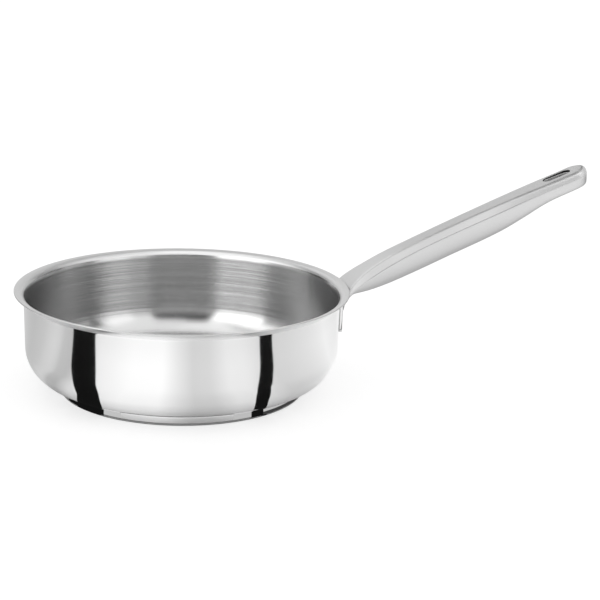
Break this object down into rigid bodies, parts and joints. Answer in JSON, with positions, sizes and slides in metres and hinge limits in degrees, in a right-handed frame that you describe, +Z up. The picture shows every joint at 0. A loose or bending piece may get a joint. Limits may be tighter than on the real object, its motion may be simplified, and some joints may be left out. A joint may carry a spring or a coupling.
{
  "type": "saute pan",
  "caption": "Polished steel saute pan with a flared pouring rim, a thick capsule base and a long, upswept, hollow satin handle with a hanging slot.",
  "frame": {"origin": "centre of the base's underside, on the hob", "axes": "+X from the pan's axis along the handle, +Z up, +Y to the left of the handle seen from the pan"},
  "size_m": [0.4525, 0.256, 0.1692],
  "materials": {
    "polished_steel": "mirror-polished outside, fine brushed satin inside",
    "core_aluminium": "plain, enclosed in the base",
    "capsule_steel": "polished side, turned underside",
    "satin_steel": "fine matt satin",
    "plate_steel": "satin",
    "weld_steel": "plain weld metal"
  },
  "bodies": {
    "root": {"pan_body": "polished_steel", "base_core_disc": "core_aluminium", "base_capsule": "capsule_steel", "handle_upper_shell": "satin_steel", "handle_lower_shell": "satin_steel", "handle_mount_plate": "plate_steel", "spot_weld_1": "weld_steel", "spot_weld_2": "weld_steel", "spot_weld_3": "weld_steel", "spot_weld_4": "weld_steel", "neck_weld_bead": "weld_steel"}
  },
  "joints": []
}
